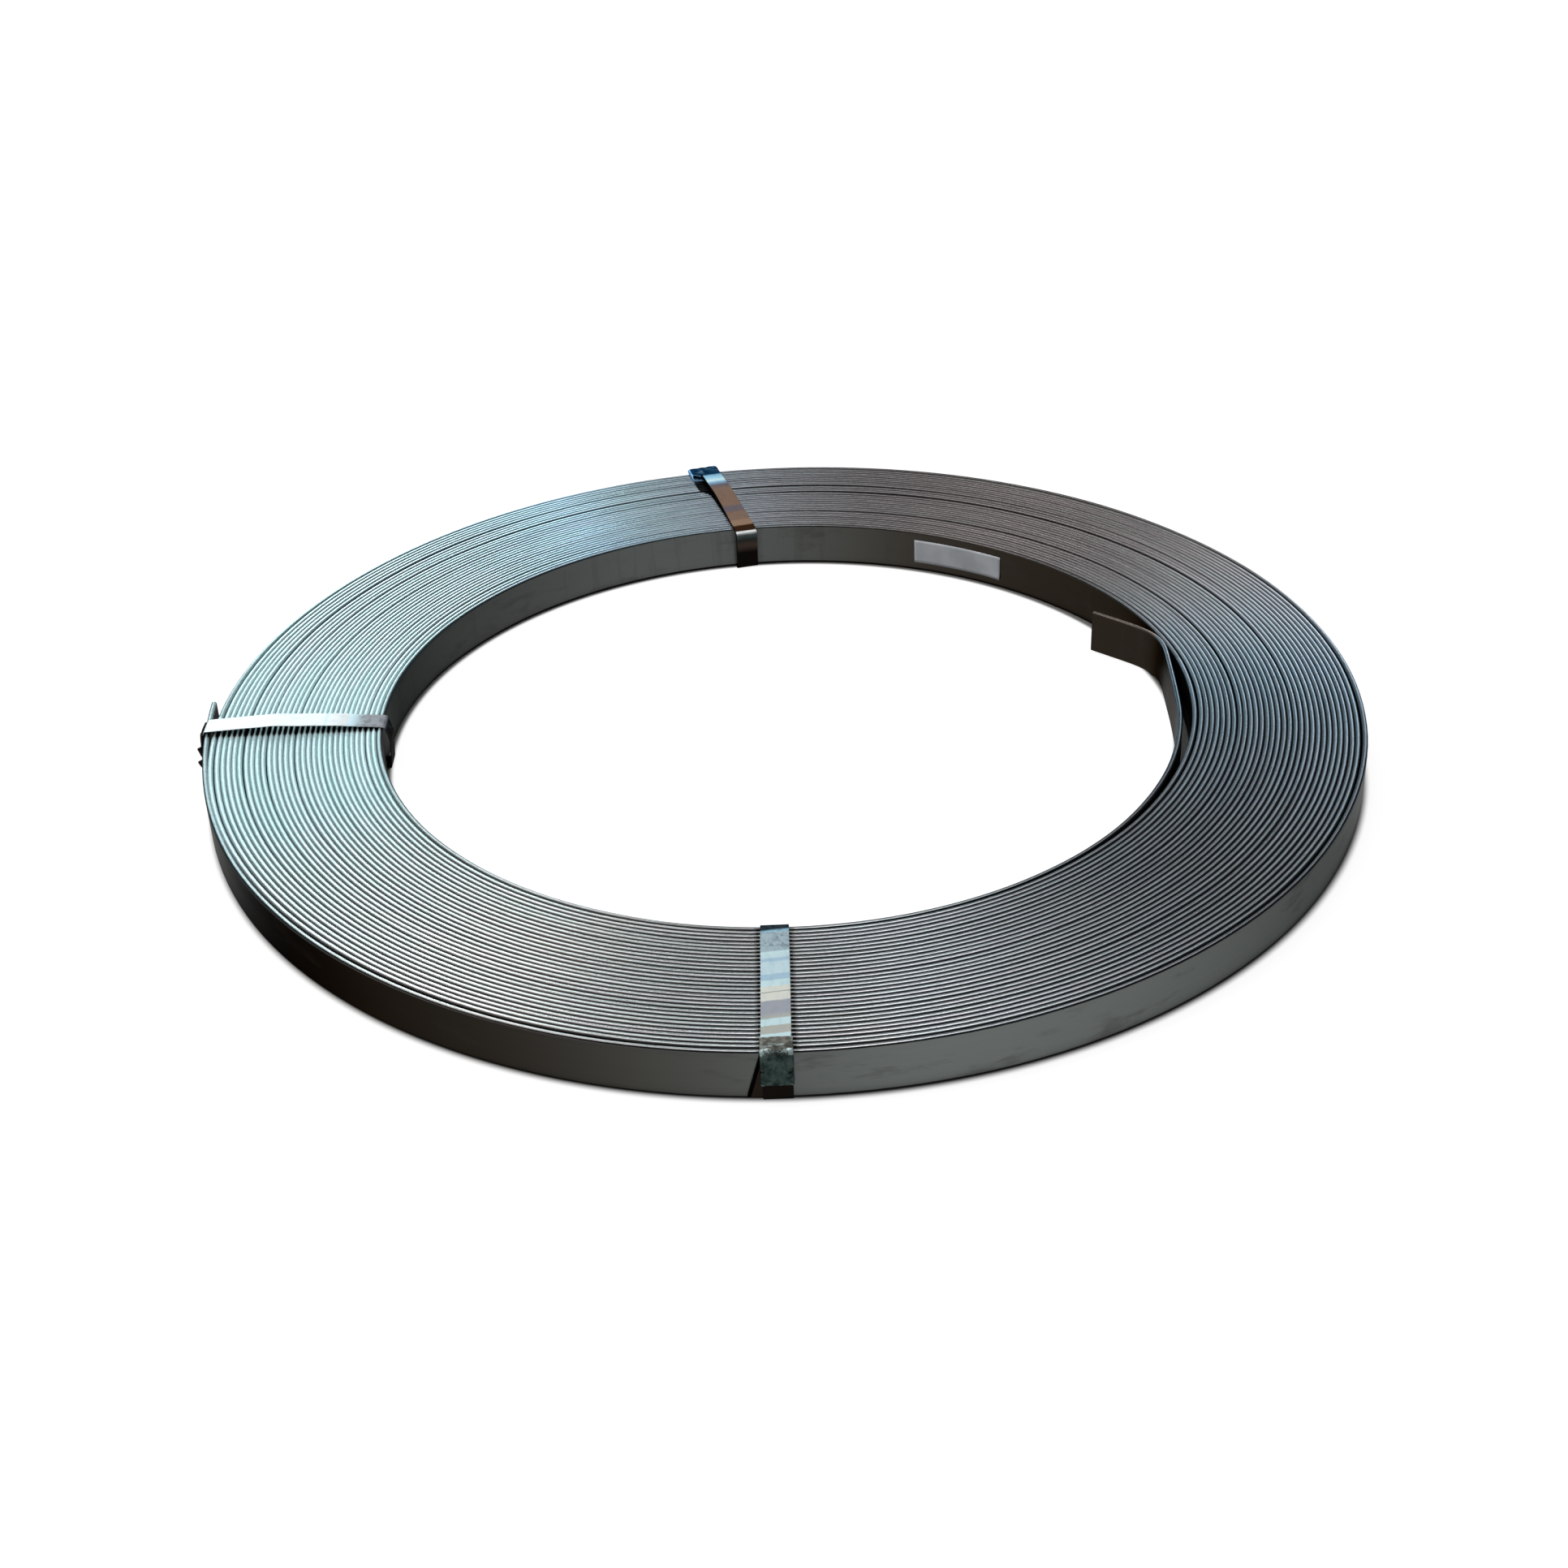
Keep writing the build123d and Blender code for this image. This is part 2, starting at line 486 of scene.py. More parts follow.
def painted(name, surface):
    """A material. A function makes its nodes and returns the values of the shader's sockets."""
    material = bpy.data.materials.new(name)
    material.use_nodes = True
    material.node_tree.nodes.clear()
    tree = Tree(material.node_tree)
    shader = tree.add("ShaderNodeBsdfPrincipled", None, surface(tree), "BSDF")
    tree.add("ShaderNodeOutputMaterial", None, {"Surface": shader})
    return material


def place_of(tree):
    """x, y and z of the shaded point."""
    point = tree.add("ShaderNodeTexCoord", None, None, "Object")
    split = tree.add("ShaderNodeSeparateXYZ", None, {0: point})
    return split, split.out("Y"), split.out("Z")


def around_axis(x, y):
    """The distance from the coil's axis, and the unit direction away from it."""
    radius = (x * x + y * y).math("SQRT")
    return radius, x / radius, y / radius


def patches_at(east, north, places):
    """The sum of soft patches that are strongest at their headings."""
    total = 0.0
    for towards, narrowness, strength in places:
        near = east * cos(radians(towards)) + north * sin(radians(towards))
        total = (near * 0.5 + 0.5) ** narrowness * strength + total
    return total


class Spot:
    """A shaded point of the strip: its place, its turn, and its depth below the turn's edge on top."""

    def __init__(self, tree):
        self.tree = tree
        self.x, self.y, self.z = place_of(tree)
        self.radius, self.east, self.north = around_axis(self.x, self.y)
        self.turn = tree.add("ShaderNodeSeparateXYZ", None, {0: tree.attribute("lay", "Vector")})
        self.outside = self.radius > self.turn.out("Y")
        self.depth = self.turn.out("Z") - self.z

    def patches(self, places):
        return patches_at(self.east, self.north, places)

    def noise(self, around, third, w, detail, roughness=0.5):
        """Noise that is stretched along the strip: its cells to a radian, then its two other inputs."""
        vector = self.tree.vector(self.east * around, self.north * around, third)
        return self.tree.noise(vector, w, detail, roughness)


def painted_shade_by_straps(spot):
    """1 under each strap and close beside it, where shade is painted onto the strip."""
    strap_shade = 0.0
    # Millimetres across the strap at which the painted shade starts and ends, and how soft its borders are
    for side, low, high, soft in ((FRONT, -11.4, 10.0, 1.2), (LEFT, -10, 11, 2), (BACK, -8, 9.5, 1)):
        away, across = side.seen_by(spot.x, spot.y)
        inside = across.between((low - soft) * MM, (low + soft) * MM)
        inside = inside * (1 - across.between((high - soft) * MM, (high + soft) * MM))
        strap_shade = inside * (away > 200 * MM) + strap_shade
    return strap_shade


def painted_shadow_under_back_strap(spot):
    """1 beside the back strap, where it stands off the coil: a shadow painted where no light gets under its
    arch.
    """
    away, across = BACK.seen_by(spot.x, spot.y)
    wider = away.between(322 * MM, 338 * MM) * 7 * MM + away.between(255 * MM, 340 * MM) * 2 * MM
    beside = across.between(5 * MM, 6 * MM) * ((8 * MM + wider) > across)
    return beside * away.between(255 * MM, 262 * MM) * (away < 351 * MM)


def wall_colour(spot):
    """The strip's faces in painted light and shade: palest to the front and back, darkest and brownest where
    they look west.
    """
    tree = spot.tree
    east, north = cos(radians(SHADED_HEADING)), sin(radians(SHADED_HEADING))
    westward = (spot.east * east + spot.north * north) * (spot.outside * 2 - 1)
    lengthwise = (spot.north * east - spot.east * north) ** 2
    # Painted light and shade: outer faces palest where they run lengthwise, inner faces darker
    outer = (lengthwise ** 8 * 0.2 + 0.8) * (1 - westward.between(0.05, 0.75) * 0.8)
    outer = outer * (1 - spot.patches(WALL_SHADE))
    inner = (lengthwise ** 4 * 0.28 + 0.35) * (1 - westward.between(0.3, 0.95) * 0.5)
    level = spot.outside * outer + (1 - spot.outside) * inner
    smudges = spot.noise(6, spot.z * 60, 2.0, 4, 0.65).between(0.52, 0.68)
    runs = spot.noise(26, spot.z * 9, 8.0, 4, 0.6).between(0.5, 0.66) * (1 - spot.outside)
    # Painted shade on the inner face of the sprung outer end, which stands off the coil
    sprung = (spot.turn > SPRUNG_TURN) * (1 - spot.outside)
    colour = tree.colour(level, BLACK, WALL_GREY)
    # Painted reflection: faces that look west turn brown
    colour = tree.colour(westward.between(0.2, 0.9), colour, WEST_REFLECTION_BROWN, "MULTIPLY")
    colour = tree.colour(smudges * 0.4, colour, SMUDGE)
    colour = tree.colour(runs * 0.2, colour, RUN)
    return tree.colour(sprung * 0.6, colour, SPRUNG_FACE_SHADE)


def edge_colour(spot, tone, turned_down):
    """Edges on top, worn bright: tinted by turn, light painted by heading, shade painted where they turn down
    to bare wall.
    """
    tree = spot.tree
    mottle = tree.noise(tree.vector(spot.x * 11, spot.y * 11, spot.z * 20), 7.0, 4, 0.6)
    speckle = tree.noise(tree.vector(spot.x * 500, spot.y * 500, spot.z * 500), 6.0, 3, 0.65)
    hue = spot.noise(0.9, spot.turn * 2.3, 11.0, 1)
    colour = EDGE_STEEL
    # Painted light: the edges take the colours of the light by heading
    for places, tint in EDGE_LIGHT_TINTS:
        colour = tree.colour(spot.patches(places) + (mottle - 0.5) * 0.5, colour, tint)
    colour = tree.colour(spot.turn < 0.0, colour, TAIL_EDGE)
    by_turn = tree.colour(hue.between(0.42, 0.58), COOL_TURN, WARM_TURN)
    colour = tree.colour(0.35, colour, by_turn, "MULTIPLY")
    # Brightness of the edges: worn by rubbing, with light painted by heading
    rubbed_and_lit = 0.66 + spot.patches(RUBBED_AND_LIT) * 0.66 + (tone - 0.5) * 0.18 + (speckle - 0.5) * 0.5
    # Painted shade: the innermost and outermost turns' edges are darker
    rubbed_and_lit = rubbed_and_lit * (1 - (spot.turn < INNER_TURN + 0.02) * 0.3 - (spot.turn > OUTER_TURN) * 0.3)
    return tree.scaled(colour, rubbed_and_lit * (1 - turned_down * 0.9))


def strip_finish(tree):
    """Rolled flat steel: dull faces streaked along the strip, edges worn bright by rubbing, slits painted
    dark as shade.
    """
    spot = Spot(tree)
    turn, depth, outside = spot.turn, spot.depth, spot.outside
    streaks = spot.noise(2.5, spot.z * 1600, spot.radius * 900, 3, 0.6)
    grain = spot.noise(50, spot.z * 2500, spot.radius * 2500, 2)
    tone = spot.noise(1.3, turn * 0.9, 3.0, 2, 0.6)

    bare = (turn < INNER_TURN) * (1 - outside) + (turn > OUTER_TURN) * outside + (turn < TAIL_TURN)
    bare = bare.least(1)
    strap_shade = painted_shade_by_straps(spot)
    shade_reach = spot.patches(SLIT_SHADE_REACH) * 1.5 + strap_shade * 1.5 + 1
    sunk = (depth * shade_reach).between(0.02 * MM, 0.3 * MM)
    slit = sunk * (1 - depth.between(14 * MM, 20 * MM)) * (1 - bare)
    # Painted light: here the slits are paler, the edge colour reaches further down and the steel is less
    # metallic
    slit_light = spot.patches(PAINTED_SLIT_LIGHT).least(1)
    slit_shade = slit * (1 - slit_light) * 0.9
    edge = 1 - (depth - slit_light * 2.5 * MM).between(0.7 * MM, 1.4 * MM)

    colour = tree.colour(edge, wall_colour(spot), edge_colour(spot, tone, bare * sunk))
    # Painted shade: the faces inside the slits, and beside the straps, are coloured near black
    colour = tree.colour(slit_shade.most(slit * strap_shade), colour, SLIT_SHADE_BLACK)
    # Painted shade: the edges beside the straps are a little darker
    colour = tree.colour(strap_shade * edge * 0.2, colour, STRAP_SHADE_BROWN)
    # Painted shadow beside the back strap, under its arch
    colour = tree.colour(painted_shadow_under_back_strap(spot) * (depth < 3 * MM) * 0.97, colour, ARCH_SHADOW_BLACK)
    roughness = 0.40 - edge * 0.12 + (streaks - 0.5) * 0.2 + (tone - 0.5) * 0.08
    return {
        "Base Color": colour,
        "Metallic": 1 - slit_light * edge * 0.5,
        "Specular IOR Level": 0.0,
        "Specular Tint": (0.38, 0.38, 0.38, 1),
        "Roughness": roughness + slit_shade * 0.3 + slit_light * edge * 0.15,
        "Normal": tree.bump(streaks * 0.7 + grain * 0.3, 0.2, 0.08 * MM),
    }


# The finishes of the straps, the seals and the label


def strap_finish(band_colours, seed, outer_leg, scuffed_from, black_edge, slope=0.0):
    """Steel strapping with bands of heat tint and painted reflection across it, scuffs near the bore and fine
    scratches.

    In millimetres: the strap's length before its bend at the coil's outer edge, where the scuffs start
    from that bend, and how far across it the black edge of painted shade starts. The slope is that of the
    bands.
    """

    def finish(tree):
        x, y, z = place_of(tree)
        along, across = tree.attribute("along"), tree.attribute("across")
        wander = tree.noise(tree.vector(x * 120, y * 120, z * 120), seed, 3, 0.6)
        worn = tree.noise(tree.vector(x * 220, y * 220, z * 220), seed, 3, 0.65)
        scratches = tree.noise(tree.vector(along * 40, across * 2500), seed, 3)
        brushed = tree.noise(tree.vector((along + across) * 1400, (along - across) * 90), seed, 3, 0.6)
        cloudy = tree.noise(tree.vector(along * 130, across * 260), seed + 4, 3, 0.6)

        inwards = along - outer_leg * MM
        banded = inwards - across * slope + (wander - 0.5) * 1.6 * MM
        low, high = band_colours[0][0] - 2, band_colours[-1][0] + 2
        stops = [((place - low) / (high - low), tint) for place, tint in band_colours]
        factor = banded.between(low * MM, high * MM, smooth=False)
        colour = tree.add("ShaderNodeValToRGB", {"stops": stops}, {"Fac": factor})
        scuffs = inwards.between(scuffed_from * MM, (scuffed_from + 4) * MM) * worn.between(0.44, 0.62)
        colour = tree.colour(scuffs * brushed.between(0.3, 0.6) * 0.55, colour, SCUFF_GREY)
        colour = tree.colour(cloudy.between(0.45, 0.75) * 0.7, colour, CLOUD, "MULTIPLY")
        colour = tree.colour((brushed - 0.5) * 0.6 + 0.1, colour, BRUSH_MARK, "MULTIPLY")

        # The end that hangs down the wall, the stretches below the coil, and the edges painted black as shade
        tongue = inwards < -2 * MM
        hidden = tongue + (inwards > 150 * MM)
        colour = tree.colour(hidden, colour, UNDERSIDE)
        colour = tree.colour(tongue * brushed, colour, TONGUE_BROWN)
        shade_from = black_edge * MM + inwards.between(50 * MM, 110 * MM) * MM
        shaded_edges = (across > shade_from) * (1 - hidden) + (across < -5.8 * MM) * tongue
        return {
            "Base Color": tree.colour(shaded_edges, colour, EDGE_SHADE_BLACK),
            "Metallic": 0.15,
            "Specular IOR Level": 0.0,
            "Specular Tint": (0.4, 0.4, 0.4, 1),
            "Roughness": 0.36 + (scratches - 0.5) * 0.2 + (worn - 0.5) * 0.3,
            "Normal": tree.bump(scratches * 0.5 + worn * 0.5, 0.2, 0.1 * MM),
        }

    return finish


def seal_finish(wall_tint, top_tint, worn_tint):
    """Sheet that was handled and crushed by the crimping tool. Its folds and corners are worn bright, and a
    highlight is painted along its bend.
    """

    def finish(tree):
        x, y, z = place_of(tree)
        wear, on_top = tree.attribute("wear"), tree.attribute("on_top")
        spangle = tree.noise(tree.vector(x * 400, y * 400, z * 400), 1.0, 2)
        dirt = tree.noise(tree.vector(x * 150, y * 150, z * 150), 5.0, 4, 0.65)
        specks = tree.noise(tree.vector(x * 600, y * 600, z * 600), 9.0, 3, 0.7)
        scraped = tree.noise(tree.vector(x * 130, y * 320, z * 320), 3.0, 4, 0.7).between(0.53, 0.64)
        colour = tree.colour(on_top, wall_tint, top_tint)
        colour = tree.colour(spangle.between(0.4, 0.65) * 0.7, colour, SPANGLE, "MULTIPLY")
        colour = tree.colour(dirt.between(0.46, 0.62) * 0.85, colour, DIRT, "MULTIPLY")
        colour = tree.colour(scraped * on_top * 0.5, colour, worn_tint)
        bright = (wear + (specks - 0.5) * 1.1).between(0.45, 0.75)
        return {
            "Base Color": tree.colour(bright, colour, worn_tint),
            "Metallic": 0.35,
            "Specular IOR Level": 0.0,
            "Specular Tint": (0.4, 0.4, 0.4, 1),
            "Roughness": 0.36 + (dirt - 0.5) * 0.4,
            "Normal": tree.bump(spangle * 0.5 + dirt * 0.5, 0.4, 0.3 * MM),
        }

    return finish


def label_finish(tree):
    """Blank paper, a little grey from handling."""
    x, y, z = place_of(tree)
    fibres = tree.noise(tree.vector(x * 900, y * 900, z * 900), 0.0, 3)
    stains = tree.noise(tree.vector(x * 60, y * 60, z * 60), 4.0, 3)
    return {
        "Base Color": tree.colour(stains.between(0.4, 0.7), (0.78, 0.83, 0.90), (0.62, 0.66, 0.72)),
        "Roughness": 0.6 + (fibres - 0.5) * 0.3,
        "Normal": tree.bump(fibres, 0.2, 0.05 * MM),
    }


strip_steel = painted("strip_steel", strip_finish)
front_strap_steel = painted("front_strap_steel", strap_finish(FRONT_BAND_COLOURS, 1.0, 28.6, 88, 9, slope=0.12))
left_strap_steel = painted("left_strap_steel", strap_finish(LEFT_BAND_COLOURS, 2.0, 29.0, 97, 9))
back_strap_steel = painted("back_strap_steel", strap_finish(BACK_BAND_COLOURS, 3.0, 18.6, 200, 6.6))
front_seal_steel = painted(
    "front_seal_steel", seal_finish((0.050, 0.080, 0.075), (0.17, 0.17, 0.155), (0.62, 0.80, 0.82))
)
# Painted shade: the left seal, seen edge-on at the coil's wall, is black all over
left_seal_steel = painted("left_seal_steel", seal_finish(SHADE_BLACK, SHADE_BLACK, (0.05, 0.05, 0.05)))
back_seal_steel = painted("back_seal_steel", seal_finish(NAVY, NAVY, (0.30, 0.52, 0.78)))
label_paper = painted("label_paper", label_finish)

# The wound strip


def winding_radius(tree, heading, turn, bore, pitch, thickness, unevenness):
    """How far the middle of the strip is from the axis at a heading, and how far it has sprung, 0 to 1."""
    angle = heading * (pi / 180)

    def facing(towards, sharpness):
        """1 where the strip faces a heading and 0 on the other side of the coil."""
        return ((angle - radians(towards)).math("COSINE") * 0.5 + 0.5) ** sharpness

    radius = bore + thickness / 2 + pitch * turn
    radius = radius + facing(12, 16) * RIGHT_BULGE * (turn > 0.6)
    for outside, towards, gap in SLITS:
        opening = facing(towards, SLIT_NARROWNESS) * gap * MM
        radius = radius + opening * (turn > outside - 0.5) - opening * 0.8 * turn / FULL_TURNS
    outwards = turn / FULL_TURNS
    radius = radius + facing(-175, 4) * (1 - outwards) * LEFT_BULGE
    radius = radius + facing(-176, 20) * outwards ** 2 * LEFT_OUTER_BULGE * (turn < FULL_TURNS + 0.05)
    wobble = tree.noise(tree.vector(angle.math("COSINE") * 3, angle.math("SINE") * 3, turn * 0.35), 1.0, 1)
    radius = radius + (wobble - 0.5) * unevenness

    # The innermost turn has sprung inwards, runs straight and bends into the tail
    near = heading.most(-20)
    straight, tail = (
        distance / ((near - towards) * (pi / 180)).math("COSINE")
        for towards, distance in (STRAIGHT_LINE, TAIL_LINE)
    )
    bent = straight.math("SMOOTH_MIN", tail, TAIL_BEND)
    radius = radius - ((heading - LOOSE_FROM) / CLOSING_ARC).most(0) ** 3 * CLOSING
    radius = radius + heading.between(-14, 0) * (bent - radius)

    # The outer end springs away from the coil
    sprung = (OUTER_END_HEADING + SPRUNG_ARC - heading).most(0) / SPRUNG_ARC
    return radius + sprung ** 4 * SPRUNG_BY, sprung


def winding_tree():
    """A strip on edge that follows the coil's turns, from the bent tail to the sprung outer end."""
    tree = geometry_tree("winding")
    width, thickness, rounding, bore, pitch, low, lift, unevenness, material = tree.inputs(
        strip_width="Float",
        strip_thickness="Float",
        edge_rounding="Float",
        bore_radius="Float",
        pitch="Float",
        coil_low="Float",
        loose_lift="Float",
        unevenness="Float",
        material="Material",
    )
    index = tree.add("GeometryNodeInputIndex")
    heading = TAIL_END_HEADING
    passed = 0
    for steps, each in STRETCHES:
        heading = heading - (index - passed).most(0).least(steps) * each
        passed += steps
    turn = (BEND_HEADING - heading) / 360
    radius, sprung = winding_radius(tree, heading, turn, bore, pitch, thickness, unevenness)

    angle = heading * (pi / 180)
    east, north = angle.math("COSINE"), angle.math("SINE")
    loose = heading.between(LOOSE_FROM, LOOSE_BY) + sprung.between(0, 0.4)
    heave = tree.noise(tree.vector(east * 2, north * 2, turn * 0.8), 5.0, 1) - 0.5
    height = low + width / 2 + loose * lift + heave * unevenness * 0.8
    place = tree.vector(radius * east, radius * north, height)
    lay = tree.vector(turn, radius, height + width / 2)

    points = tree.add("GeometryNodePoints", None, {"Count": passed + 1, "Position": place})
    curve = tree.add("GeometryNodePointsToCurves", None, {"Points": points})
    known = tree.stored(curve, "lay", lay, "FLOAT_VECTOR")
    upright = tree.add("GeometryNodeSetCurveNormal", {"mode": "Z_UP"}, {"Curve": known})
    lean = (tree.noise(tree.vector(east * 4, north * 4, turn * 0.9), 9.0, 1) - 0.5) * LEAN
    leaning = tree.add("GeometryNodeSetCurveTilt", None, {"Curve": upright, "Tilt": lean})
    section = tree.rounded_section(thickness, width, rounding, ROUNDING_POINTS)
    tree.result(tree.swept(leaning, section), material)
    return tree


strip = made_by(
    "strip",
    winding_tree(),
    strip_width=STRIP_WIDTH,
    strip_thickness=STRIP_THICKNESS,
    edge_rounding=EDGE_ROUNDING,
    bore_radius=BORE_RADIUS,
    pitch=PITCH,
    coil_low=COIL_LOW,
    loose_lift=LOOSE_LIFT,
    unevenness=UNEVENNESS,
    material=strip_steel,
)
flat_faces = strip.modifiers.new("flat faces", "WEIGHTED_NORMAL")
flat_faces.keep_sharp = True
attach(strip, "root")
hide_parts("earthing_strip")

# The straps


def rounded(corners, radii, spacing=4 * MM):
    """Points along straight runs that round bends join. The bends' radii are in millimetres."""
    points = [corners[0]]

    def run_to(end):
        """The points of a straight run from the last point, without its ends."""
        start = points[-1]
        count = max(1, round((end - start).length / spacing))
        return [start.lerp(end, k / count) for k in range(1, count)]

    for before, corner, after, radius in zip(corners, corners[1:], corners[2:], radii):
        back = (before - corner).normalized()
        on = (after - corner).normalized()
        half = back.angle(on) / 2
        reach = radius * MM / tan(half)
        middle = corner + (back + on).normalized() * radius * MM / sin(half)
        first, last = corner + back * reach, corner + on * reach
        arms = (first - middle).normalized(), (last - middle).normalized()
        steps = max(3, round((pi - 2 * half) / 0.2))
        points += run_to(first)
        points += [middle + arms[0].slerp(arms[1], k / steps) * radius * MM for k in range(steps + 1)]
    return points + run_to(corners[-1]) + [corners[-1]]


def strapping_tree():
    """A flat band that follows a line, with a slight ripple where it is clear of the floor."""
    tree = geometry_tree("strapping")
    line, across, width, thickness, ripple, seed, material = tree.inputs(
        line="Geometry",
        across="Vector",
        width="Float",
        thickness="Float",
        ripple="Float",
        seed="Float",
        material="Material",
    )
    curve = tree.add("GeometryNodeMeshToCurve", None, {0: line})
    place = tree.add("GeometryNodeInputPosition")
    tangent = tree.add("GeometryNodeInputTangent")
    waves = tree.noise(tree.scaled(place, 90.0), seed, 2)
    upwards = tree.add("ShaderNodeVectorMath", {"operation": "CROSS_PRODUCT"}, {0: tangent, 1: across})
    above_floor = tree.add("ShaderNodeSeparateXYZ", None, {0: place}).out("Z").between(1 * MM, 8 * MM)
    offset = tree.scaled(upwards, (waves - 0.5) * ripple * above_floor)
    wavy = tree.add("GeometryNodeSetPosition", None, {"Geometry": curve, "Offset": offset})
    length = tree.add("GeometryNodeSplineParameter", None, None, "Length")
    known = tree.stored(wavy, "along", length)
    facing = tree.add("GeometryNodeSetCurveNormal", {"mode": "FREE"}, {"Curve": known, "Normal": across})
    section = tree.rounded_section(width, thickness, thickness * 0.4, 1)
    sideways = tree.add("ShaderNodeSeparateXYZ", None, {0: place})
    section = tree.stored(section, "across", sideways)
    tree.result(tree.swept(facing, section), material)
    return tree


strapping = strapping_tree()


def strap(node, side, corners, radii, ripple, seed, finish):
    """One strap along its corners, which are millimetres away from the axis, up, and across the strap."""
    points = rounded([side.at(*corner) for corner in corners], radii)
    line = bpy.data.meshes.new(node)
    line.from_pydata(points, [(k, k + 1) for k in range(len(points) - 1)], [])
    band = made_by(
        node + "_band",
        strapping,
        line,
        across=side.across,
        width=STRAP_WIDTH,
        thickness=STRAP_THICKNESS,
        ripple=ripple * MM,
        seed=seed,
        material=finish,
    )
    band.data.set_sharp_from_angle(angle=radians(40))
    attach(band, "root")
    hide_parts(node)


strap(
    "strap_front",
    FRONT,
    [
        (371.4, 2.2, -9.6),
        (371.4, 31.0, -1.8),
        (352.0, 31.15, -1.2),
        (300.0, 31.15, -0.6),
        (258.1, 31.2, -0.3),
        (257.9, 0.35, -0.6),
        (372.3, 0.35, -1.2),
        (372.2, 32.1, -1.2),
        (361.5, 32.0, -1.2),
    ],
    [1.2, 20, 200, 1.3, 1.2, 1.2, 1.4],
    ripple=0.9,
    seed=1.0,
    finish=front_strap_steel,
)
strap(
    "strap_left",
    LEFT,
    [
        (378.2, 3.0, 0.5),
        (375.8, 32.7, 0.0),
        (330.0, 35.4, 0.0),
        (290.0, 33.8, 0.0),
        (258.8, 31.0, 0.0),
        (256.2, 20.0, 0.0),
        (257.8, 0.35, 0.0),
        (379.4, 0.35, 0.0),
        (377.2, 31.0, 0.0),
    ],
    [1.5, 100, 150, 2.5, 18, 1.2, 1.2],
    ripple=0.7,
    seed=4.0,
    finish=left_strap_steel,
)
strap(
    "strap_back",
    BACK,
    [
        (370.4, 14.0, 2.0),
        (370.3, 32.6, 2.4),
        (352.0, 35.0, 3.0),
        (322.0, 34.8, 1.8),
        (300.0, 33.0, 0.9),
        (258.5, 31.4, 0.4),
        (252.2, 29.3, 0.2),
        (253.6, 0.35, 0.0),
        (371.2, 0.35, 1.8),
        (371.2, 31.6, 1.8),
    ],
    [1.5, 30, 60, 90, 4, 1.8, 1.4, 1.2],
    ripple=0.6,
    seed=7.0,
    finish=back_strap_steel,
)

# The seals, whose sizes here are in millimetres

SEAL_ROW = 0.65  # between the rows of a seal's mesh
SEAL_CORNER = 1.4  # how far from the coil's edge a seal starts to bend over it
SEAL_FLAT = 7.65  # from a seal's middle to its side folds
SEAL_HALF = 8.6  # from a seal's middle to just past the outside of its side folds
SEAL_WING = 4.5
SEAL_HIGH = 2.1  # the middle of the outer sheet above the coil
SEAL_LOW = 0.6  # the middle of the wings above the coil
OUTER_SHEET = 1.3  # what is higher than this above the coil lies over the strap
CRIMP_REACH = 1.3  # above and below the middle of a crimp
CRIMP_PINCH = 2.2  # how far a crimp pushes the side folds inwards
CRIMP_DENT = 0.3
FLARE_REACH = 7  # how far below a crimp its sheet stands off


class Fold:
    """The surface under a seal: along the coil's top, over its outer edge and down its wall."""

    def __init__(self, top, corner, foot):
        self.corner = Vector(corner)
        inward, down = Vector(top) - self.corner, Vector(foot) - self.corner
        self.on_top, self.on_wall = inward.length, down.length
        self.inward, self.down = inward.normalized(), down.normalized()

    def at(self, place):
        """The point at a distance from the edge, less than 0 on top, and the direction away from the coil."""
        turned = clamped((place + SEAL_CORNER) / (2 * SEAL_CORNER))
        away = Vector((0.0, 1.0)).slerp(Vector((1.0, 0.0)), turned)
        if place < -SEAL_CORNER:
            return self.corner + self.inward * -place, away
        if place > SEAL_CORNER:
            return self.corner + self.down * place, away
        first, last = self.corner + self.inward * SEAL_CORNER, self.corner + self.down * SEAL_CORNER
        return first.lerp(self.corner, turned).lerp(self.corner.lerp(last, turned), turned), away


def seal_section(opened):
    """The middle of the sheet across a seal, from wing to wing: how far across, and how far off the coil.

    The left half may be open by some millimetres, where the sheet has sprung off the strap.
    """
    high = SEAL_HIGH + opened * 0.17
    fold = (high - SEAL_LOW) / 2
    wing = SEAL_WING + opened * 0.4
    halves = []
    for flat in (SEAL_FLAT + opened, SEAL_FLAT - opened * 0.25):
        half = [(w, high) for w in np.linspace(0, flat, 10)]
        half += [(flat + fold * sin(a), SEAL_LOW + fold + fold * cos(a)) for a in np.linspace(0, pi, 7)[1:]]
        half += [(flat - w, SEAL_LOW) for w in np.linspace(0, wing, 4)[1:]]
        halves.append(half)
    return [(-w, h) for w, h in halves[1][:0:-1]] + halves[0]


def crumple(across, place, seed):
    """How far handling has pushed the sheet out of its shape."""
    broad = noise.noise(Vector((across / 3.5, place / 3.0, seed))) * 0.34
    return broad + noise.noise(Vector((across / 1.5, place / 1.3, seed + 9))) * 0.13


def seal_point(fold, place, across, high, share, crimps, flare, seed):
    """A point of the sheet: away from the axis, up and across the strap."""
    past = [place - crimp for crimp in crimps]
    near = max(max(0, 1 - abs(distance) / CRIMP_REACH) for distance in past)
    below = [1 - distance / FLARE_REACH for distance in past if 0.5 <= distance < FLARE_REACH]
    if high > OUTER_SHEET:
        lift = flare * max(below, default=0) * max(0, share - 0.55) / 0.5
        high += crumple(across, place, seed) - CRIMP_DENT * near * (1 - 0.5 * share) + lift
    pinch = CRIMP_PINCH * near * max(0, share - 0.45) / 0.65
    surface, away = fold.at(place)
    point = surface + away * high
    return point.x, point.y, (abs(across) - pinch) * (1 if across > 0 else -1)


